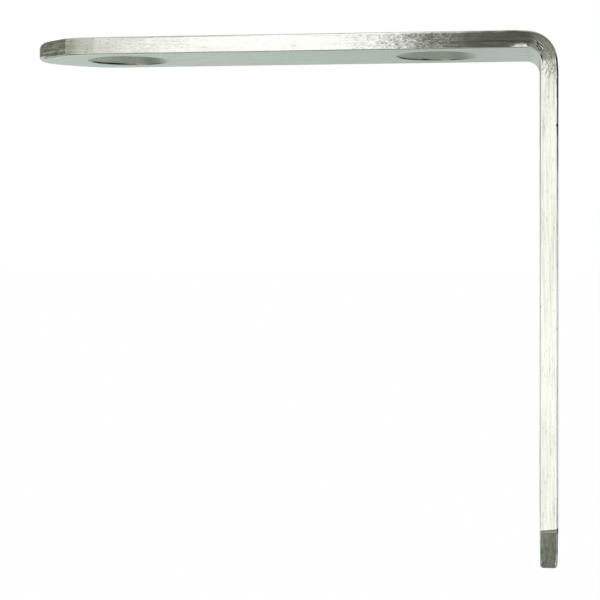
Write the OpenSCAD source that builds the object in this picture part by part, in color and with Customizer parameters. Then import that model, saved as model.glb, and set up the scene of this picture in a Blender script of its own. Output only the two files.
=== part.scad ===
// Corner brace bracket
// One flat steel bar bent once to a right angle, with countersunk screw holes

/* [Bar] */
// Length of the shelf arm, from the heel's outer face to its tip
shelf_arm_len = 63.5; // [50:0.5:120]
// Length of the wall arm, from the heel's outer face to its tip
wall_arm_len = 63.5; // [50:0.5:120]
// Width of the bar
bar_w = 15.9; // [14:0.1:25]
// Thickness of the bar
bar_t = 2.05; // [1.6:0.05:3.5]
// Radius that the bar's edges are rounded to
edge_r = 0.2; // [0.1:0.05:0.5]

/* [Bend] */
// Inside radius of the bend
bend_r = 1.6; // [0.8:0.1:4]
// How far the squeezed inner edge swells out of each side at the bend
swell_h = 0.22; // [0.1:0.01:0.4]
// How deep into the thickness that swelling reaches
swell_depth = 1.4; // [1:0.1:2]

/* [Arm ends] */
// Radius of the rounded tip
tip_r = 6.2; // [5:0.1:8]
// Angle between the shelf arm's slanted corner cuts and the bar's long side
shelf_corner_angle = 42; // [37:1:48]
// The same angle on the wall arm
wall_corner_angle = 44; // [37:1:48]
// How deep the slanted cut bites into the round tip where the two meet
tip_bite = 0.1; // [0.05:0.05:0.3]
// How wide a flat is ground on the shelf arm's corners where side and cut meet
shelf_corner_flat = 2.3; // [1:0.1:3]
// The same flat on the wall arm's corners, only a narrow bevel
wall_corner_flat = 0.3; // [0.2:0.1:3]
// Rounding of the shelf arm's tip edge at its outer face
shelf_tip_edge_r = 0.7; // [0.3:0.1:0.9]
// Rounding of the wall arm's tip edge at its outer face
wall_tip_edge_r = 0.4; // [0.3:0.1:0.9]
// Rounding of both tips' edges at the inner face
inner_tip_edge_r = 0.4; // [0.2:0.05:0.5]

/* [Screw holes] */
// From the heel's outer face to the first hole
heel_hole_pos = 14.3; // [12:0.1:18]
// From the tip to the last hole
tip_hole_pos = 11.1; // [9:0.1:14]
// Diameter of the screw hole
hole_d = 6.2; // [5:0.1:6.8]
// Diameter of the countersink at the inner face
sink_d = 10; // [8.5:0.1:12]
// Included angle of the countersink
sink_angle = 90; // [82:1:100]

/* [Hidden] */
$fn = 72;
eps = 0.5;

bend_outer_r = bend_r + bar_t;

// Longer than any arm, for blanks that are cut to length
blank_len = shelf_arm_len + wall_arm_len;

// Swelling at the bend, a shallow dome round the bend's own axis
swell_reach = bend_r + min(swell_depth, 0.8 * bar_t);
swell_sphere_r = (swell_reach * swell_reach + swell_h * swell_h) / (2 * swell_h);
swell_outer_r = (swell_reach + bend_outer_r) / 2;
swell_arm_run = 2 * swell_reach;

// Angle at which the tip's rounding meets the faces beside it
tip_edge_meet = 15;

sink_depth = (sink_d - hole_d) / 2 / tan(sink_angle / 2);

// The wall arm's two holes lie evenly above and below the origin
heel_z = (heel_hole_pos + wall_arm_len - tip_hole_pos) / 2;

// Flat bar's section with rounded edges, its width along X
module bar_section() {
    translate([-bar_w / 2 + edge_r, 0])
        square([bar_w - 2 * edge_r, bar_t]);
    translate([-bar_w / 2, edge_r])
        square([bar_w, bar_t - 2 * edge_r]);
    for (side = [-1, 1], level = [edge_r, bar_t - edge_r])
        translate([side * (bar_w / 2 - edge_r), level])
            circle(r = edge_r);
}

// Outline of one arm seen square to its faces, from the bend to the tip
module arm_outline(flat_len, corner_angle, corner_flat) {
    // The round tip takes over from the slanted cuts about here, back from the tip
    tip_zone = tip_r * (1 - sin(corner_angle));
    // How far back from the tip the slanted cut's line and the flat's line cross the long side
    cut_back = tip_r - (tip_r - tip_bite - bar_w / 2 * cos(corner_angle)) / sin(corner_angle);
    flat_back = cut_back + corner_flat * sin(corner_angle / 2) / sin(corner_angle);
    intersection() {
        translate([0, -bar_w])
            square([flat_len, 2 * bar_w]);
        union() {
            translate([flat_len - tip_r, 0])
                circle(r = tip_r);
            translate([0, -bar_w])
                square([flat_len - tip_zone, 2 * bar_w]);
        }
        slants_both_sides(flat_len, cut_back, corner_angle);
        slants_both_sides(flat_len, flat_back, corner_angle / 2);
    }
}

// What is left between two lines that start on the long sides, back from the tip, and slant in
module slants_both_sides(flat_len, back, angle) {
    intersection_for(side = [0, 1])
        mirror([0, side])
            translate([flat_len - back, bar_w / 2])
                rotate(-angle)
                    translate([-2 * blank_len, -4 * blank_len])
                        square([4 * blank_len, 4 * blank_len]);
}

// Screw hole with its countersink in the inner face
module screw_hole() {
    translate([0, 0, -eps])
        cylinder(h = bar_t + 2 * eps, d = hole_d);
    cylinder(h = sink_depth, d1 = sink_d, d2 = hole_d);
    translate([0, 0, -eps])
        cylinder(h = eps, d = sink_d);
}

// One arm along +X from the bend, inner face at z = 0, before its holes
module arm_blank(arm_len, corner_angle, corner_flat, outer_tip_edge_r) {
    flat_len = arm_len - bend_outer_r;
    difference() {
        intersection() {
            rotate([90, 0, 90])
                linear_extrude(arm_len)
                    bar_section();
            translate([0, 0, -eps])
                linear_extrude(bar_t + 2 * eps)
                    arm_outline(flat_len, corner_angle, corner_flat);
        }
        translate([flat_len, 0, bar_t])
            tip_edge_cut(outer_tip_edge_r);
        translate([flat_len, 0, 0])
            mirror([0, 0, 1])
                tip_edge_cut(inner_tip_edge_r);
    }
}

// What the rounding takes off a tip's edge, the tip at x = 0 and its face at z = 0
module tip_edge_cut(r) {
    centre = r * cos(tip_edge_meet);
    translate([-centre, bar_w, -centre])
        rotate([90, 0, 0])
            linear_extrude(2 * bar_w)
                difference() {
                    square(centre + eps);
                    circle(r = r);
                }
}

// The screw holes of one arm
module arm_holes(arm_len) {
    for (pos = [heel_hole_pos, arm_len - tip_hole_pos])
        translate([pos - bend_outer_r, 0, 0])
            screw_hole();
}

// Quarter turn of the bar round the bend's axis
module bend() {
    rotate([90, 0, 0])
        rotate_extrude(angle = 90)
            translate([bend_r, 0])
                rotate([0, 0, -90])
                    bar_section();
}

// Profile of the inner layer of the bend and the starts of both arms
module swell_profile() {
    difference() {
        union() {
            circle(r = swell_outer_r);
            translate([-swell_arm_run, 0])
                square([swell_arm_run, swell_outer_r]);
            translate([0, -swell_arm_run])
                square([swell_outer_r, swell_arm_run]);
        }
        circle(r = bend_r);
        translate([-2 * swell_arm_run, -2 * swell_arm_run])
            square([2 * swell_arm_run, 2 * swell_arm_run + bend_r]);
        translate([-2 * swell_arm_run, -2 * swell_arm_run])
            square([2 * swell_arm_run + bend_r, 2 * swell_arm_run]);
    }
}

// Metal pushed out sideways along the squeezed inner edge of the bend
module bend_swell() {
    intersection() {
        translate([0, bar_w / 2 + 2 * swell_h, 0])
            rotate([90, 0, 0])
                linear_extrude(bar_w + 4 * swell_h)
                    swell_profile();
        translate([0, bar_w / 2 + swell_h - swell_sphere_r, 0])
            sphere(r = swell_sphere_r, $fn = 360);
        translate([0, -bar_w / 2 - swell_h + swell_sphere_r, 0])
            sphere(r = swell_sphere_r, $fn = 360);
    }
}

// Puts what an arm holds on the shelf arm
module on_shelf_arm() {
    rotate([0, 0, 180])
        translate([0, 0, bend_r])
            children();
}

// Puts what an arm holds on the wall arm
module on_wall_arm() {
    rotate([0, 90, 0])
        translate([0, 0, bend_r])
            children();
}

// The whole bracket, bent from one bar
module corner_brace() {
    color([0.80, 0.82, 0.79])
        translate([-bend_outer_r, 0, heel_z - bend_outer_r])
            difference() {
                union() {
                    on_shelf_arm()
                        arm_blank(shelf_arm_len, shelf_corner_angle, shelf_corner_flat, shelf_tip_edge_r);
                    on_wall_arm()
                        arm_blank(wall_arm_len, wall_corner_angle, wall_corner_flat, wall_tip_edge_r);
                    bend();
                    bend_swell();
                }
                on_shelf_arm() arm_holes(shelf_arm_len);
                on_wall_arm() arm_holes(wall_arm_len);
            }
}

corner_brace();
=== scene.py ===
import bpy
import bmesh
import math
from mathutils import Matrix, Vector, noise


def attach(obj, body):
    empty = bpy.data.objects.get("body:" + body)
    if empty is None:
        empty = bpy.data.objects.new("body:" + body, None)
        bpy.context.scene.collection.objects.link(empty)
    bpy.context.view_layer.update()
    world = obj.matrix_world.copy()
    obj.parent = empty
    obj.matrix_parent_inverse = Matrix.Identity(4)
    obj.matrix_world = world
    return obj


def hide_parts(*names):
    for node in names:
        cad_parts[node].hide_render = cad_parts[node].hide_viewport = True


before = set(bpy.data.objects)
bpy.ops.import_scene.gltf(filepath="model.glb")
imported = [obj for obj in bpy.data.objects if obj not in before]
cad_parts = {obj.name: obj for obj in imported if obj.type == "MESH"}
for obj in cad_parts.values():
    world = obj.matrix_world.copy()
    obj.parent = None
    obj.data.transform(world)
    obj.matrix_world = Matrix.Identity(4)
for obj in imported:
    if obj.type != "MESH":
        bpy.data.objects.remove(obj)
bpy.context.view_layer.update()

# One millimetre in metres. The lengths below are in millimetres.
MM = 0.001

# Sizes of the real bracket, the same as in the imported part
ARM = 63.5
HALF_W = 15.9 / 2
BAR_T = 2.05
BEND_R = 1.6
TIP_R = 6.2
TIP_BITE = 0.1
CORNER_ANGLE = {"shelf": math.radians(42), "wall": math.radians(44)}
CORNER_FLAT = {"shelf": 2.3, "wall": 0.3}
HEEL_HOLE = 14.3
TIP_HOLE = 11.1
HOLE_R = 3.1
SINK_R = 5.0

# Sizes that follow from them
OUTER_R = BEND_R + BAR_T
BEND_ARC = math.pi / 2 * BEND_R
FLAT = ARM - OUTER_R
HOLE_PLACES = (HEEL_HOLE - OUTER_R, ARM - TIP_HOLE - OUTER_R)
HEEL_Z = (HEEL_HOLE + ARM - TIP_HOLE) / 2
AXIS_X = -OUTER_R
AXIS_Z = HEEL_Z - OUTER_R

# Rounding of the long edges at the inner face, by arm, and at the outer face
EDGE_R_IN = {"shelf": 0.13, "wall": 0.055}
EDGE_R_OUT = 0.22
# Rounding of the tips' edges at the inner and the outer face
TIP_EDGE_R = {"shelf": (0.4, 0.7), "wall": (0.4, 0.4)}
# How far the sheared sides lean back towards the outer face, for each millimetre of depth
SIDE_LEAN = 0.026
# How far the side faces and the tips are set in, as their lean and waves stand out again
SIDE_SET_IN = 0.03
TIP_SET_IN = 0.012
# How much the stretched outer face draws in at the middle of the bend, and where on the strip
# that starts and ends
THINNED = 0.11
THINNED_START = (-1.5, 0.9)
THINNED_END = (BEND_ARC + 1.5, BEND_ARC - 0.9)
# How far the bend's two faces sink into the metal at the middle of the width, and how far
# beyond the bend that reaches
CROWN = 0.05
CROWN_REACH = 3.2
# How far the wall arm's slanted cuts lean over the bar's thickness, and where, back from the tip
WALL_CUT_SKEW = 0.21
WALL_CUT_START = (2.0, 4.5)
WALL_CUT_END = (9.5, 7.0)
# How softly tumbling has rounded the outline: (distance back from the tip, millimetres either way)
SOFTEN = {
    "shelf": ((0.0, 0.3), (3.6, 0.3), (4.4, 0.12), (5.5, 0.12), (6.3, 1.1), (7.6, 1.6)),
    "wall": ((0.0, 0.3), (3.6, 0.3), (5.0, 0.06), (6.4, 0.06), (7.4, 0.3)),
}

# Swelling of the side faces round the bend: its height, how far inside the bend's radius its
# top lies and how wide it spreads
SWELL = 0.022
SWELL_INSIDE = 0.2
SWELL_SPREAD = 0.9
# More of it along the squeezed inner edge, how deep that goes, and where it starts and ends
EDGE_SWELL = 0.06
EDGE_SWELL_DEPTH = 0.28
EDGE_SWELL_START = (-2.0, 1.0)
EDGE_SWELL_END = (BEND_ARC + 0.9, BEND_ARC - 0.9)
# Ripples near the bend and how far from its axis they reach, waves of the rolled bar, and
# unevenness of the tips
RIPPLE = 0.004
RIPPLE_REACH = 4.2
WAVE = 0.006
TIP_WAVE = 0.010
# Cold-work grooves at the bend as (q0, d0, q1, d1, depth), and half the width of one
GROOVES = (
    (0.70, 0.90, 1.36, 0.97, 0.022),
    (0.86, 0.76, 1.50, 0.66, 0.026),
    (0.86, 0.55, 1.46, 0.37, 0.020),
)
GROOVE_HALF_W = 0.055
# A tiny nick on the wall arm's outer edge below the bend, painted in as a dark spot of shade, as (q, v, d)
SHADED_NICK = (BEND_ARC + 7.38, -HALF_W + 0.03, BAR_T - 0.12)

# Rise of the lip that the cutter raised round a countersink
RIM_LIP = 0.022
# Step at a countersink's rim, and how much deeper it is on one side
RIM_STEP = 0.07
RIM_STEP_MORE = 0.17
RIM_STEP_SIDE = math.radians(135)
# How dark the painted shade on the step's deeper side is, in the measure that the grooves' depth has
RIM_STEP_SHADE = 0.0065

# How far back from the tip an arm end's outline reaches
OUTLINE_REACH = 11.0

# How finely the mesh is cut
OUTLINE_POINTS = 900
OUTLINE_STEP = 0.13
OUTLINE_FINE_STEP = 0.02
# Steps along the long sides as (how far beyond the bend they are used, step)
STATION_STEPS = ((2.5, 0.07), (5.0, 0.14), (8.0, 0.35), (math.inf, 0.7))
ROUND_STEPS = 6
SIDE_STEPS = 28
ACROSS = 14
HOLE_COLUMNS = 120
CONE_RINGS = 22

# Material slots of the mesh
FACE, SIDE, SINK = 0, 1, 2


# Plain helpers

def smooth(a, b, x):
    """Goes smoothly from 0 at a to 1 at b."""
    t = min(1.0, max(0.0, (x - a) / (b - a)))
    return t * t * (3 - 2 * t)


def ramp(x, points):
    """Straight lines through (x, y) points."""
    if x <= points[0][0]:
        return points[0][1]
    for (x0, y0), (x1, y1) in zip(points, points[1:]):
        if x <= x1:
            return y0 + (y1 - y0) * (x - x0) / (x1 - x0)
    return points[-1][1]


def value_noise(x, y, seed):
    """Smooth noise from -1 to 1 at unit scale."""
    return noise.noise(Vector((x, y, 7.31 * seed)))


# The bracket as a flat strip. q runs along it from the shelf tip, where it is negative, through
# the bend, which is 0 to BEND_ARC, to the wall tip. v runs across it, and d from its inner face
# into the metal.

def to_bracket(q, v, d):
    """A point of the flat strip, folded, in metres."""
    in_bend = smooth(*THINNED_START, q) * smooth(*THINNED_END, q)
    r = BEND_R + d - THINNED * (d / BAR_T) ** 2 * in_bend
    if q <= 0:
        return Vector((AXIS_X + q, v, AXIS_Z + r)) * MM
    if q >= BEND_ARC:
        return Vector((AXIS_X + r, v, AXIS_Z - (q - BEND_ARC))) * MM
    a = q / BEND_R
    return Vector((AXIS_X + r * math.sin(a), v, AXIS_Z + r * math.cos(a))) * MM


def past_bend(q):
    """How far a point lies beyond the bend, on either arm."""
    return max(0.0, -q, q - BEND_ARC)


def back_from_tip(q):
    """How far a point lies back from its arm's tip."""
    return FLAT + q if q < 0 else BEND_ARC + FLAT - q


# Outline of the arm ends

def tip_half(arm):
    """
    Half of an arm end's outline as (distance back from the tip, half width), from the
    tip's middle to the long side.
    """
    angle = CORNER_ANGLE[arm]
    cut_back = TIP_R - (TIP_R - TIP_BITE - HALF_W * math.cos(angle)) / math.sin(angle)
    flat_back = cut_back + CORNER_FLAT[arm] * math.sin(angle / 2) / math.sin(angle)
    half = []
    for i in range(OUTLINE_POINTS + 1):
        t = i / OUTLINE_POINTS
        back = OUTLINE_REACH * t * t
        width = HALF_W
        if back < TIP_R * (1 - math.sin(angle)):
            width = math.sqrt(max(0.0, TIP_R ** 2 - (TIP_R - back) ** 2))
        width = min(width, HALF_W - (cut_back - back) * math.tan(angle))
        width = min(width, HALF_W - (flat_back - back) * math.tan(angle / 2))
        half.append((back, max(0.0, width)))
    return half


def resample(points, step):
    """Points at equal steps along a line of points."""
    out = [points[0]]
    left = step
    for a, b in zip(points, points[1:]):
        length = math.dist(a, b)
        at = 0.0
        while length - at >= left:
            at += left
            t = at / length
            out.append((a[0] + (b[0] - a[0]) * t, a[1] + (b[1] - a[1]) * t))
            left = step
        left -= length - at
    return out


def mean_point(points):
    return (sum(p[0] for p in points) / len(points), sum(p[1] for p in points) / len(points))


def tip_outline(arm):
    """Softened outline round an arm's end, from one long side to the other, as (back from tip, v)."""
    half = tip_half(arm)
    full = [(back, v) for back, v in reversed(half)] + [(back, -v) for back, v in half[1:]]
    fine = resample(full, OUTLINE_FINE_STEP)
    soft = []
    for i, (back, v) in enumerate(fine):
        either_way = min(int(ramp(back, SOFTEN[arm]) / OUTLINE_FINE_STEP), i, len(fine) - 1 - i)
        soft.append(mean_point(fine[i - either_way:i + either_way + 1]))
    # The softening shortens the tip a little, so it is drawn out again
    short = min(p[0] for p in soft)
    soft = [(back - short * smooth(9.0, 3.0, back), v) for back, v in soft]
    soft[0], soft[-1] = fine[0], fine[-1]
    return resample(soft, OUTLINE_STEP)


def station_step(q):
    """Distance from a station on a long side to the next, short near the bend."""
    return next(step for reach, step in STATION_STEPS if past_bend(q) < reach)


def stations():
    """
    Stations round the strip's outline as (q, v), from the +v side of the shelf arm, then
    the q of those on one long side, and how many lie on the wall tip.
    """
    shelf, wall = tip_outline("shelf"), tip_outline("wall")
    q = -FLAT + max(p[0] for p in shelf)
    q_end = BEND_ARC + FLAT - max(p[0] for p in wall)
    side_qs = []
    while q < q_end - 0.05:
        side_qs.append(q)
        q += station_step(q)
    side_qs.append(q_end)
    ring = [(q, HALF_W) for q in side_qs]
    ring += [(BEND_ARC + FLAT - back, v) for back, v in wall[1:-1]]
    ring += [(q, -HALF_W) for q in reversed(side_qs)]
    ring += [(-FLAT + back, -v) for back, v in shelf[1:-1]]
    return ring, side_qs, len(wall) - 2


RING, SIDE_QS, WALL_TIP_COUNT = stations()
RING_COUNT = len(RING)
SIDE_COUNT = len(SIDE_QS)
# How far beyond the bend its inner and outer faces reach, and the stations where they end
BEND_FACE_REACH = 4.0
BEND_FROM = max(j for j in range(SIDE_COUNT) if SIDE_QS[j] <= -BEND_FACE_REACH)
BEND_TO = min(j for j in range(SIDE_COUNT) if SIDE_QS[j] >= BEND_ARC + BEND_FACE_REACH)


def minus_index(j):
    """A long side's station in the ring on the -v side. On the +v side it is the station's own."""
    return SIDE_COUNT + WALL_TIP_COUNT + (SIDE_COUNT - 1 - j)


def outline_normal(i):
    """Unit vector out of the outline at a station."""
    a, b = RING[i - 1], RING[(i + 1) % RING_COUNT]
    along_q, along_v = b[0] - a[0], b[1] - a[1]
    length = math.hypot(along_q, along_v) or 1
    return (-along_v / length, along_q / length)


# The rim: both long sides and both tips with their rounded edges

def groove_depth(q, d):
    """Depth of the cold-work grooves at a point of a side face."""
    total = 0.0
    for q0, d0, q1, d1, depth in GROOVES:
        if q0 - 0.4 <= q <= q1 + 0.4:
            t = (q - q0) / (q1 - q0)
            middle = d0 + (d1 - d0) * t + 0.03 * math.sin(t * 5.0 + q0 * 9)
            ends = smooth(-0.15, 0.25, t) * smooth(1.15, 0.75, t)
            total += depth * ends * math.exp(-((d - middle) / GROOVE_HALF_W) ** 2)
    return total


def side_bulge(q, d, side):
    """
    How far a side face stands out at a point: the swelling at the bend with its grooves,
    the lean of a sheared bar and the slight waves of a rolled one.
    """
    from_axis = math.hypot(past_bend(q), BEND_R + d)
    out = SWELL * math.exp(-((from_axis - BEND_R + SWELL_INSIDE) / SWELL_SPREAD) ** 2)
    in_bend = smooth(*EDGE_SWELL_START, q) * smooth(*EDGE_SWELL_END, q)
    out += EDGE_SWELL * math.exp(-(d / EDGE_SWELL_DEPTH) ** 2) * in_bend
    near_bend = smooth(RIPPLE_REACH, BEND_R + 0.5, from_axis)
    ripple = RIPPLE * near_bend * value_noise(q * 1.6, d * 4.5, 9 + side)
    wave = WAVE * value_noise(q * 0.35, d * 0.8, 21 + side)
    lean = -SIDE_LEAN * (d - BAR_T / 2)
    return out + ripple + wave + lean - SIDE_SET_IN - groove_depth(q, d)


def edge_radii(q, v):
    """Rounding of the rim at the inner and the outer face, a little uneven."""
    on_shelf, on_wall = EDGE_R_IN["shelf"], EDGE_R_IN["wall"]
    long_edges = (on_shelf + (on_wall - on_shelf) * smooth(-1.0, 3.0, q), EDGE_R_OUT)
    tip_edges = TIP_EDGE_R["shelf" if q < 0 else "wall"]
    at_tip = smooth(2.6, 0.3, back_from_tip(q))
    uneven = 1 + 0.15 * value_noise(q * 0.8, v * 0.8, 5)
    return tuple((r + (tip - r) * at_tip) * uneven for r, tip in zip(long_edges, tip_edges))


def rim_profile(edge_in, edge_out):
    """(inset, depth) pairs from the inner face over both rounded edges to the outer face."""
    # Support points keep the flats beside the roundings flat
    on_face_near, on_face_far, on_side = 0.03, 0.25, 0.012
    out = [(edge_in + on_face_far, 0.0), (edge_in + on_face_near, 0.0)]
    for k in range(ROUND_STEPS + 1):
        a = math.pi / 2 * k / ROUND_STEPS
        out.append((edge_in * (1 - math.sin(a)), edge_in * (1 - math.cos(a))))
    out.append((0.0, edge_in + on_side))
    for k in range(1, SIDE_STEPS):
        out.append((0.0, edge_in + (BAR_T - edge_in - edge_out) * k / SIDE_STEPS))
    out.append((0.0, BAR_T - edge_out - on_side))
    for k in range(ROUND_STEPS + 1):
        a = math.pi / 2 * (1 - k / ROUND_STEPS)
        out.append((edge_out * (1 - math.sin(a)), BAR_T - edge_out * (1 - math.cos(a))))
    out += [(edge_out + on_face_near, BAR_T), (edge_out + on_face_far, BAR_T)]
    return out


bm = bmesh.new()
strip_layer = bm.verts.layers.float_vector.new("strip")
# How much painted shade darkens the side faces at each point, in the measure of the grooves' depth
groove_shade_layer = bm.verts.layers.float.new("groove_shade")


def add_point(q, v, d, groove_shade=0.0):
    """A point of the mesh with its place on the strip, and its painted shade as a depth of grooves."""
    vert = bm.verts.new(to_bracket(q, v, d))
    vert[strip_layer] = Vector((q, v, d))
    vert[groove_shade_layer] = groove_shade
    return vert


def add_face(verts, kind):
    face = bm.faces.new(verts)
    face.material_index = kind


def rim_row(i):
    """The rim's points at one station, from the inner face round to the outer face."""
    q, v = RING[i]
    edge_in, edge_out = edge_radii(q, v)
    normal_q, normal_v = outline_normal(i)
    on_side = smooth(HALF_W - 0.4, HALF_W - 0.02, abs(v))
    wall_back = BEND_ARC + FLAT - q
    skew = WALL_CUT_SKEW * smooth(*WALL_CUT_START, wall_back) * smooth(*WALL_CUT_END, wall_back)
    row = []
    for inset, d in rim_profile(edge_in, edge_out):
        share = 1 - smooth(0.0, edge_in if d < BAR_T / 2 else edge_out, inset)
        out = side_bulge(q, d, 1 if v > 0 else -1) * share * on_side
        if on_side < 1:
            out += share * (1 - on_side) * TIP_WAVE * value_noise((q + v) * 0.35, d * 2.6, 31)
            out -= share * (1 - on_side) * TIP_SET_IN
        moved_q = q + normal_q * (out - inset) - skew * (d / BAR_T - 0.5)
        moved_v = v + normal_v * (out - inset)
        # The grooves' depth also paints shade into them
        row.append(add_point(moved_q, moved_v, d, groove_depth(q, d)))
    return row


rim = [rim_row(i) for i in range(RING_COUNT)]
INNER, OUTER = 0, len(rim[0]) - 1
for i in range(RING_COUNT):
    a, b = rim[i], rim[(i + 1) % RING_COUNT]
    for k in range(OUTER):
        add_face((a[k], a[k + 1], b[k + 1], b[k]), SIDE if 2 <= k < OUTER - 2 else FACE)


# The bend's inner and outer faces, cut across into columns

def crown(q, v):
    """How far a face of the bend sinks into the metal at a point."""
    near_bend = smooth(CROWN_REACH, 0.0, past_bend(q))
    return CROWN * near_bend * (1 - (v / HALF_W) ** 2)


def bend_face(k, depth, crown_way):
    """
    The bend's face between the rim's points k. crown_way is 1 for the inner face, which sinks
    to a larger depth, and -1 for the outer. Gives its rows at the shelf arm and the wall arm.
    """
    rows = []
    for j in range(BEND_FROM, BEND_TO + 1):
        first, last = rim[j][k], rim[minus_index(j)][k]
        v_first, v_last = first[strip_layer][1], last[strip_layer][1]
        row = [first]
        for c in range(1, ACROSS):
            v = v_first + (v_last - v_first) * c / ACROSS
            row.append(add_point(SIDE_QS[j], v, depth + crown_way * crown(SIDE_QS[j], v)))
        row.append(last)
        rows.append(row)
    for r0, r1 in zip(rows, rows[1:]):
        for c in range(ACROSS):
            add_face((r0[c], r1[c], r1[c + 1], r0[c + 1]), FACE)
    return rows[0], rows[-1]


inner_rows = bend_face(INNER, 0.0, 1)
outer_rows = bend_face(OUTER, BAR_T, -1)


# Screw holes: rings from the inner face down the countersink and through to the outer face

def hole_profile(step):
    """(radius, depth, kind) from the inner face to the outer one, with a steep step at the rim."""
    out = [
        (SINK_R + 0.3, 0.0, FACE),
        (SINK_R + 0.12, 0.0, FACE),
        (SINK_R + 0.06, -RIM_LIP, FACE),
        (SINK_R + 0.02, -0.02, SINK),
        (SINK_R - 0.02, 0.02, SINK),
        # The step has the side faces' material, which paints shade on it
        (SINK_R - 0.05, step, SIDE),
        (SINK_R - 0.09, step + 0.025, SINK),
    ]
    cone = SINK_R - HOLE_R
    for k in range(1, CONE_RINGS):
        t = k / CONE_RINGS
        tool_mark = 0.006 if k % 2 else 0.0
        radius = SINK_R - 0.09 - (cone - 0.17) * t + tool_mark
        out.append((radius, step + 0.025 + (cone - 0.04 - step) * t, SINK))
    out += [
        (HOLE_R + 0.02, cone - 0.02, SINK),
        (HOLE_R, cone + 0.02, SINK),
        (HOLE_R, BAR_T - 0.06, SINK),
        (HOLE_R + 0.02, BAR_T - 0.02, SINK),
        (HOLE_R + 0.07, BAR_T, FACE),
        (HOLE_R + 0.35, BAR_T, FACE),
    ]
    return out


# The two rings of hole_profile that bound the step
STEP_RINGS = (4, 5)


def make_hole(q_middle):
    """A hole's wall. Gives its rims in the inner and the outer face."""
    columns = []
    for s in range(HOLE_COLUMNS):
        a = 2 * math.pi * s / HOLE_COLUMNS
        # The cutter ran a little off centre, so the step is deeper on one side
        deeper = max(0.0, math.cos(a - RIM_STEP_SIDE)) ** 2
        profile = hole_profile(RIM_STEP + RIM_STEP_MORE * deeper)
        columns.append((math.cos(a), math.sin(a), profile, RIM_STEP_SHADE * deeper))
    kinds = [kind for radius, depth, kind in columns[0][2]]
    rings = []
    for k in range(len(kinds)):
        ring = []
        for cos_a, sin_a, profile, dark in columns:
            radius, depth, kind = profile[k]
            # The step's rings carry painted shade, most on its deeper side
            groove_shade = dark if k in STEP_RINGS else 0.0
            ring.append(add_point(q_middle + radius * cos_a, radius * sin_a, depth, groove_shade))
        rings.append(ring)
    for r0, r1, kind in zip(rings, rings[1:], kinds[1:]):
        for s in range(HOLE_COLUMNS):
            after = (s + 1) % HOLE_COLUMNS
            add_face((r0[s], r1[s], r1[after], r0[after]), kind)
    return rings[0], rings[-1]


# The arms' flat faces

def edge_between(a, b):
    return bm.edges.get((a, b)) or bm.edges.new((a, b))


def line_edges(verts):
    return [edge_between(a, b) for a, b in zip(verts, verts[1:])]


def fill_face(k, bend_row, arm, hole_rims):
    """Fills an arm's flat face between its outline, the row of points at the bend and the hole rims."""
    if arm == "shelf":
        around = list(range(minus_index(BEND_FROM), RING_COUNT)) + list(range(BEND_FROM + 1))
    else:
        around = list(range(BEND_TO, minus_index(BEND_TO) + 1))
    edges = line_edges([rim[j][k] for j in around]) + line_edges(bend_row)
    for hole_rim in hole_rims:
        edges += line_edges(hole_rim) + [edge_between(hole_rim[-1], hole_rim[0])]
    made = bmesh.ops.triangle_fill(bm, use_beauty=True, use_dissolve=False, edges=edges)
    for part in made["geom"]:
        if isinstance(part, bmesh.types.BMFace):
            part.material_index = FACE


shelf_holes = [make_hole(-place) for place in HOLE_PLACES]
wall_holes = [make_hole(BEND_ARC + place) for place in HOLE_PLACES]
fill_face(INNER, inner_rows[0], "shelf", [hole[0] for hole in shelf_holes])
fill_face(OUTER, outer_rows[0], "shelf", [hole[1] for hole in shelf_holes])
fill_face(INNER, inner_rows[1], "wall", [hole[0] for hole in wall_holes])
fill_face(OUTER, outer_rows[1], "wall", [hole[1] for hole in wall_holes])
bmesh.ops.recalc_face_normals(bm, faces=bm.faces)

mesh = bpy.data.meshes.new("corner_brace_bar")
bm.to_mesh(mesh)
bm.free()
brace = bpy.data.objects.new("corner_brace_bar", mesh)
bpy.context.collection.objects.link(brace)
for polygon in mesh.polygons:
    polygon.use_smooth = True
mesh.set_sharp_from_angle(angle=math.radians(40))


# Shader helpers. nt is the node tree that a node is made in.

def math_node(nt, kind, a, b=None):
    n = nt.nodes.new("ShaderNodeMath")
    n.operation = kind
    for sock, val in zip(n.inputs, (a, b)):
        if isinstance(val, (int, float)):
            sock.default_value = val
        elif val is not None:
            nt.links.new(val, sock)
    return n.outputs[0]


def product(nt, first, *others):
    for other in others:
        first = math_node(nt, "MULTIPLY", first, other)
    return first


def remap(nt, value, from_min, from_max, to_min=0.0, to_max=1.0):
    """A smooth step between two values."""
    n = nt.nodes.new("ShaderNodeMapRange")
    n.interpolation_type = "SMOOTHSTEP"
    n.inputs["From Min"].default_value = from_min
    n.inputs["From Max"].default_value = from_max
    n.inputs["To Min"].default_value = to_min
    n.inputs["To Max"].default_value = to_max
    nt.links.new(value, n.inputs["Value"])
    return n.outputs["Result"]


def blend_colour(nt, share, a, b):
    """Colour a where share is 0, and b where it is 1."""
    n = nt.nodes.new("ShaderNodeMix")
    n.data_type = "RGBA"
    nt.links.new(share, n.inputs[0])
    for sock, val in ((n.inputs[6], a), (n.inputs[7], b)):
        if isinstance(val, tuple):
            sock.default_value = (*val, 1)
        else:
            nt.links.new(val, sock)
    return n.outputs[2]


def strip_coords(nt, scale=(1.0, 1.0, 1.0)):
    """The strip's own coordinates (q, v, d) in millimetres, scaled."""
    att = nt.nodes.new("ShaderNodeAttribute")
    att.attribute_name = "strip"
    mul = nt.nodes.new("ShaderNodeVectorMath")
    mul.operation = "MULTIPLY"
    mul.inputs[1].default_value = scale
    nt.links.new(att.outputs["Vector"], mul.inputs[0])
    return mul.outputs["Vector"]


def strip_noise(nt, stretch, scale, detail, rough=0.5):
    """Noise that is fixed to the strip and stretched along its axes."""
    n = nt.nodes.new("ShaderNodeTexNoise")
    n.inputs["Scale"].default_value = scale
    n.inputs["Detail"].default_value = detail
    n.inputs["Roughness"].default_value = rough
    nt.links.new(strip_coords(nt, stretch), n.inputs["Vector"])
    return n.outputs["Fac"]


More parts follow.
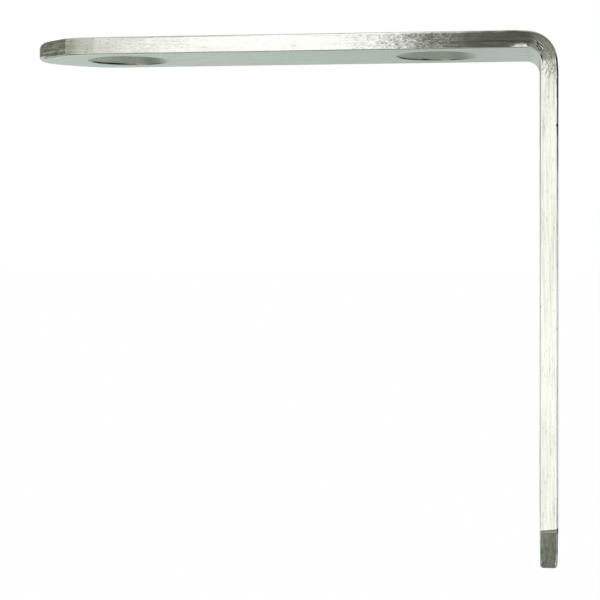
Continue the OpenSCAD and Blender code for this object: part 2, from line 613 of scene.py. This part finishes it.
def bump(nt, height, distance, strength, before=None):
    n = nt.nodes.new("ShaderNodeBump")
    n.inputs["Distance"].default_value = distance
    if isinstance(strength, float):
        n.inputs["Strength"].default_value = strength
    else:
        nt.links.new(strength, n.inputs["Strength"])
    nt.links.new(height, n.inputs["Height"])
    if before is not None:
        nt.links.new(before, n.inputs["Normal"])
    return n.outputs["Normal"]


# Materials

def build_face(nt, bsdf):
    """The flat faces: fine lengthwise lines of rolled steel."""
    fine = strip_noise(nt, (0.05, 2.2, 2.2), 4.0, 4.0)
    cloud = strip_noise(nt, (0.12, 0.3, 0.3), 1.0, 3.0)
    col = blend_colour(nt, remap(nt, cloud, 0.35, 0.7), (0.80, 0.84, 0.81), (0.86, 0.88, 0.86))
    nt.links.new(col, bsdf.inputs["Base Color"])
    nt.links.new(remap(nt, fine, 0.3, 0.7, 0.20, 0.30), bsdf.inputs["Roughness"])
    nt.links.new(bump(nt, fine, 0.010 * MM, 0.25), bsdf.inputs["Normal"])


def build_side(nt, bsdf):
    """The side faces: streaks, short ticks, stains, tumbling marks and the marks at the bend."""
    place = nt.nodes.new("ShaderNodeSeparateXYZ")
    nt.links.new(strip_coords(nt), place.inputs[0])
    along = place.outputs["X"]
    across = math_node(nt, "ABSOLUTE", place.outputs["Y"])
    at_tip = remap(nt, across, HALF_W - 0.15, HALF_W - 0.5, 0.0, 0.85)
    at_bend = product(nt, remap(nt, along, -1.0, 1.2, 0.0, 0.5), remap(nt, along, 5.5, 3.0))

    # Streaks, clouds and ticks all over
    streak = strip_noise(nt, (0.12, 0.2, 3.2), 1.6, 5.0, 0.6)
    cloud = strip_noise(nt, (0.1, 0.3, 0.3), 1.0, 2.0)
    ticks = strip_noise(nt, (0.75, 0.5, 3.6), 1.5, 1.0)
    col = blend_colour(nt, remap(nt, streak, 0.34, 0.56), (0.82, 0.82, 0.78), (0.90, 0.91, 0.88))
    col = blend_colour(nt, remap(nt, cloud, 0.4, 0.65, 0.0, 0.35), col, (0.80, 0.79, 0.72))
    col = blend_colour(nt, remap(nt, ticks, 0.60, 0.72, 0.0, 0.6), col, (0.55, 0.56, 0.47))

    # Stains at the tips and at the bend
    stained = strip_noise(nt, (0.5, 0.6, 2.2), 1.3, 4.0, 0.65)
    where = math_node(nt, "MAXIMUM", at_tip, at_bend)
    col = blend_colour(nt, product(nt, remap(nt, stained, 0.42, 0.62), where), col, (0.52, 0.56, 0.49))

    # Painted shade in the grooves, on the countersinks' rim step and in the nick
    groove_shade = nt.nodes.new("ShaderNodeAttribute")
    groove_shade.attribute_name = "groove_shade"
    painted_groove_shade = remap(nt, groove_shade.outputs["Fac"], 0.001, 0.010, 0.0, 0.9)
    col = blend_colour(nt, painted_groove_shade, col, (0.05, 0.05, 0.04))
    # Painted shade of the nick: a nearly black spot on the outer edge
    from_nick = nt.nodes.new("ShaderNodeVectorMath")
    from_nick.operation = "DISTANCE"
    from_nick.inputs[1].default_value = SHADED_NICK
    nt.links.new(strip_coords(nt), from_nick.inputs[0])
    painted_nick_shade = remap(nt, from_nick.outputs["Value"], 0.10, 0.24, 0.95, 0.0)
    col = blend_colour(nt, painted_nick_shade, col, (0.03, 0.03, 0.025))
    nt.links.new(col, bsdf.inputs["Base Color"])
    nt.links.new(remap(nt, streak, 0.3, 0.7, 0.12, 0.06), bsdf.inputs["Roughness"])

    # Tumbling marks that fade towards the bend and at the shelf tip, then wrinkles at the bend
    mottle = strip_noise(nt, (0.52, 1.1, 1.95), 1.7, 2.0, 0.55)
    before_bend = remap(nt, along, -12.0, -3.0, 1.0, 0.22)
    behind_tip = remap(nt, along, -54.0, -44.0, 0.25, 1.0)
    marks = bump(nt, mottle, 0.010 * MM, product(nt, before_bend, behind_tip))
    wrinkles = strip_noise(nt, (0.9, 1.0, 2.4), 1.6, 3.0, 0.6)
    marks = bump(nt, wrinkles, 0.028 * MM, at_bend, marks)
    nt.links.new(bump(nt, streak, 0.003 * MM, 0.4, marks), bsdf.inputs["Normal"])


def build_sink(nt, bsdf):
    """The countersinks and bores: a duller, turned surface."""
    fine = strip_noise(nt, (2.0, 2.0, 6.0), 1.5, 3.0)
    col = blend_colour(nt, remap(nt, fine, 0.35, 0.65), (0.88, 0.93, 0.87), (0.94, 0.97, 0.93))
    nt.links.new(col, bsdf.inputs["Base Color"])
    nt.links.new(remap(nt, fine, 0.3, 0.7, 0.38, 0.48), bsdf.inputs["Roughness"])
    nt.links.new(bump(nt, fine, 0.015 * MM, 0.3), bsdf.inputs["Normal"])


def make_material(name, base, rough, build):
    material = bpy.data.materials.new(name)
    material.use_nodes = True
    nt = material.node_tree
    bsdf = nt.nodes["Principled BSDF"]
    bsdf.inputs["Base Color"].default_value = (*base, 1)
    bsdf.inputs["Metallic"].default_value = 1.0
    bsdf.inputs["Roughness"].default_value = rough
    build(nt, bsdf)
    return material


# In the order of the mesh's slots
for material in (
    make_material("bright_steel_face", (0.84, 0.86, 0.84), 0.25, build_face),
    make_material("bright_steel_side", (0.82, 0.82, 0.77), 0.2, build_side),
    make_material("bright_steel_sink", (0.88, 0.91, 0.84), 0.42, build_sink),
):
    mesh.materials.append(material)
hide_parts("corner_brace")
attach(brace, "root")


# Floor, in metres

FLOOR_SIZE = 8.0
FLOOR_Z = -0.075
# How much of the floor is plain white to the camera. The rest shows the object's shadow.
FLOOR_WHITE = 0.85


def make_floor(size, z):
    """A level square that the camera sees nearly white, with the object's shadow on it."""
    half = size / 2
    corners = [(-half, -half, z), (half, -half, z), (half, half, z), (-half, half, z)]
    floor_mesh = bpy.data.meshes.new("studio_floor")
    floor_mesh.from_pydata(corners, [], [(0, 1, 2, 3)])
    floor = bpy.data.objects.new("studio_floor", floor_mesh)
    bpy.context.collection.objects.link(floor)

    material = bpy.data.materials.new("studio_floor_white")
    material.use_nodes = True
    nt = material.node_tree
    nt.nodes.clear()
    shaded = nt.nodes.new("ShaderNodeBsdfDiffuse")
    shaded.inputs["Color"].default_value = (0.96, 0.96, 0.96, 1)
    white = nt.nodes.new("ShaderNodeEmission")
    white.inputs["Color"].default_value = (1, 1, 1, 1)
    light_path = nt.nodes.new("ShaderNodeLightPath")
    seen = math_node(nt, "MULTIPLY", light_path.outputs["Is Camera Ray"], FLOOR_WHITE)
    mix = nt.nodes.new("ShaderNodeMixShader")
    nt.links.new(seen, mix.inputs[0])
    nt.links.new(shaded.outputs[0], mix.inputs[1])
    nt.links.new(white.outputs[0], mix.inputs[2])
    out = nt.nodes.new("ShaderNodeOutputMaterial")
    nt.links.new(mix.outputs[0], out.inputs["Surface"])
    floor_mesh.materials.append(material)
    return floor


floor = make_floor(FLOOR_SIZE, FLOOR_Z)
floor.visible_glossy = False


# World: plain white for the camera and for diffuse light. Reflections see cards of light and dark.

world = bpy.data.worlds.new("studio")
bpy.context.scene.world = world
world.use_nodes = True
sky = world.node_tree
sky.nodes.clear()
direction = sky.nodes.new("ShaderNodeTexCoord").outputs["Generated"]
split = sky.nodes.new("ShaderNodeSeparateXYZ")
sky.links.new(direction, split.inputs[0])
# Azimuth 0 is towards -Y, where the camera stands, and positive towards +X
azimuth = math_node(sky, "ARCTAN2", split.outputs["X"], math_node(sky, "MULTIPLY", split.outputs["Y"], -1.0))
elevation = math_node(sky, "ARCSINE", split.outputs["Z"])


def toward(azimuth_deg, elevation_deg):
    """Unit vector of a direction."""
    a, e = math.radians(azimuth_deg), math.radians(elevation_deg)
    return (math.sin(a) * math.cos(e), -math.cos(a) * math.cos(e), math.sin(e))


def fade(angle, start, end):
    """0 at the first angle in degrees, 1 at the second."""
    return remap(sky, angle, math.radians(start), math.radians(end))


def lobe(azimuth_deg, elevation_deg, inner, outer):
    """1 within inner degrees of a direction, 0 beyond outer degrees."""
    dot = sky.nodes.new("ShaderNodeVectorMath")
    dot.operation = "DOT_PRODUCT"
    dot.inputs[1].default_value = toward(azimuth_deg, elevation_deg)
    sky.links.new(direction, dot.inputs[0])
    return fade(math_node(sky, "ARCCOSINE", dot.outputs["Value"]), outer, inner)


def window(left, right, bottom, top):
    """A card of light or dark: each side is a pair of angles in degrees between which it fades."""
    return product(
        sky,
        fade(azimuth, *left),
        fade(azimuth, right[1], right[0]),
        fade(elevation, *bottom),
        fade(elevation, top[1], top[0]),
    )


# Behind the bracket, which the faces seen nearly edge-on mirror
behind = remap(sky, split.outputs["Y"], -0.1, 0.55)
behind_high = product(sky, behind, fade(elevation, 50, 25))
behind_low = product(sky, behind, fade(elevation, 5, -1), fade(elevation, -36, -22))
# A narrow upright slit there, which the wall arm's inner face mirrors
slit = product(
    sky,
    behind,
    remap(sky, split.outputs["X"], -0.024, -0.013),
    remap(sky, split.outputs["X"], 0.011, 0.002),
)
slit_high = product(sky, slit, fade(elevation, -3.0, -1.0), fade(elevation, 9.5, 8.0))
slit_low = product(sky, slit, fade(elevation, -7.2, -8.2), fade(elevation, -16, -13))
# Straight behind and down, which the round end of the wall arm mirrors
behind_down = product(
    sky,
    fade(math_node(sky, "ABSOLUTE", azimuth), 150, 163),
    fade(elevation, -84, -76),
    fade(elevation, -17, -24),
)
# The shelf arm's underside, paler at the tip than at the bend
underside = blend_colour(
    sky, remap(sky, split.outputs["X"], -0.32, 0.1), (0.645, 0.715, 0.655), (0.47, 0.535, 0.49)
)

# Cards as (where, colour). A later one covers the earlier ones. A comment names the surfaces
# that mirror the cards below it to the camera, or the cards' direction.
CARDS = (
    (behind_high, (0.26, 0.28, 0.27)),
    (lobe(0, -90, 48, 66), (0.42, 0.44, 0.39)),
    (behind_low, underside),
    (slit_high, (0.70, 0.73, 0.70)),
    (slit_low, (0.75, 0.78, 0.74)),
    # The countersinks' ends towards the bend
    (window((-174, -160), (-118, -106), (-72, -60), (-22, -12)), (0.41, 0.45, 0.41)),
    (behind_down, (0.19, 0.20, 0.18)),
    # Pale, to the left
    (window((-128, -118), (-19, -16), (-16, -13), (3.6, 5.0)), (0.86, 0.87, 0.84)),
    # The middle of the countersinks, and the wall arm's slanted cut
    (lobe(0, -84, 12, 24), (0.19, 0.20, 0.165)),
    # The countersinks' ends towards the tip
    (window((96, 106), (160, 174), (-72, -60), (-22, -12)), (0.47, 0.51, 0.46)),
    # Dark, low to the left and to the right
    (window((-122, -110), (-55, -45), (-70, -60), (-24, -17)), (0.08, 0.085, 0.07)),
    (window((45, 55), (118, 128), (-70, -60), (-24, -17)), (0.08, 0.085, 0.07)),
    # The shelf arm's slanted cut, then the flat beside it and its turn into the side
    (product(sky, lobe(-105, 8, 24, 50), fade(elevation, 4.2, 5.5)), (0.19, 0.20, 0.16)),
    (window((-75, -58), (-16, -12), (0, 4), (15, 30)), (0.50, 0.51, 0.44)),
    (window((-58, -17), (-14, -10), (0, 4), (15, 30)), (0.61, 0.62, 0.57)),
    # The bright side faces of the shelf arm and of the wall arm
    (window((-16.3, -10.9), (-2, 2), (-30, -14), (55, 75)), (1.20, 1.21, 1.19)),
    (window((-2, 2), (9, 15), (-30, -14), (18, 28)), (1.13, 1.14, 1.07)),
    # The bevel above the wall arm's slanted cut, the outer edge there, and where bevel and cut meet
    (window((-14, -6), (30, 50), (-62, -58), (-24, -14)), (0.26, 0.265, 0.22)),
    (window((20, 40), (135, 150), (-44, -36), (-10, -4)), (0.06, 0.065, 0.055)),
    (window((-50, -30), (30, 50), (-76, -72), (-66, -62)), (0.46, 0.47, 0.42)),
    # The middle stretch of the wall arm's outer edge
    (window((9, 15), (110, 140), (-14, -8), (0, 2)), (0.66, 0.67, 0.64)),
    # The shelf arm's side where it darkens, the bend, and two for the darkest stretch between them
    (window((-5.9, -3.7), (-1, 2), (5.6, 8.8), (60, 85)), (0.19, 0.20, 0.165)),
    (window((-1.5, 0.5), (16, 24), (5.4, 6.5), (60, 85)), (0.27, 0.275, 0.23)),
    (window((-3.6, -1.2), (0.3, 2.4), (6.4, 9.0), (60, 85)), (0.06, 0.065, 0.045)),
    (window((-4.6, -2.2), (0.8, 2.2), (-30, -22), (60, 85)), (0.06, 0.065, 0.045)),
    # The pale wedge where the bend starts
    (window((-22, -14), (-3.0, -1.2), (11.5, 14), (26, 32)), (1.05, 1.06, 0.98)),
    # The dark outer edge of the wall arm near the bend, and of the bend
    (window((14, 22), (90, 130), (1.4, 3.4), (12, 20)), (0.03, 0.032, 0.026)),
    (window((16, 24), (75, 85), (22, 28), (60, 72)), (0.12, 0.125, 0.105)),
)
cards = blend_colour(sky, lobe(0, 90, 15, 80), (0.50, 0.52, 0.50), (0.60, 0.62, 0.60))
for where, colour in CARDS:
    cards = blend_colour(sky, where, cards, colour)
light_path = sky.nodes.new("ShaderNodeLightPath")
lit = blend_colour(sky, light_path.outputs["Is Glossy Ray"], (1.0, 1.0, 1.0), cards)
shown = blend_colour(sky, light_path.outputs["Is Camera Ray"], lit, (1.0, 1.0, 1.0))
background = sky.nodes.new("ShaderNodeBackground")
sky.links.new(shown, background.inputs["Color"])
world_out = sky.nodes.new("ShaderNodeOutputWorld")
sky.links.new(background.outputs[0], world_out.inputs["Surface"])


# Camera, fitted to the photo: angles in radians, place in millimetres, focal length and shift in pixels

IMAGE_PX = 600
FOCAL_PX = 1656.6
SHIFT_PX = (11.56, -47.44)
YAW, PITCH, ROLL = 0.13065, -0.01048, 0.00122
CAM_AT = (-3.334, -200.356, 9.726)
SENSOR = 36.0
cam_data = bpy.data.cameras.new("camera")
cam_data.sensor_width = SENSOR
cam_data.lens = FOCAL_PX / IMAGE_PX * SENSOR
cam_data.shift_x = -SHIFT_PX[0] / IMAGE_PX
cam_data.shift_y = SHIFT_PX[1] / IMAGE_PX
cam_data.clip_start = 0.005
cam_data.clip_end = 50
cam = bpy.data.objects.new("camera", cam_data)
bpy.context.collection.objects.link(cam)
turn = Matrix.Rotation(YAW, 4, "Z") @ Matrix.Rotation(PITCH, 4, "X") @ Matrix.Rotation(ROLL, 4, "Y")
level = Matrix.Rotation(math.radians(90), 4, "X")
cam.matrix_world = Matrix.Translation(Vector(CAM_AT) * MM) @ turn @ level
bpy.context.scene.camera = cam

bpy.context.scene.view_settings.view_transform = "Standard"
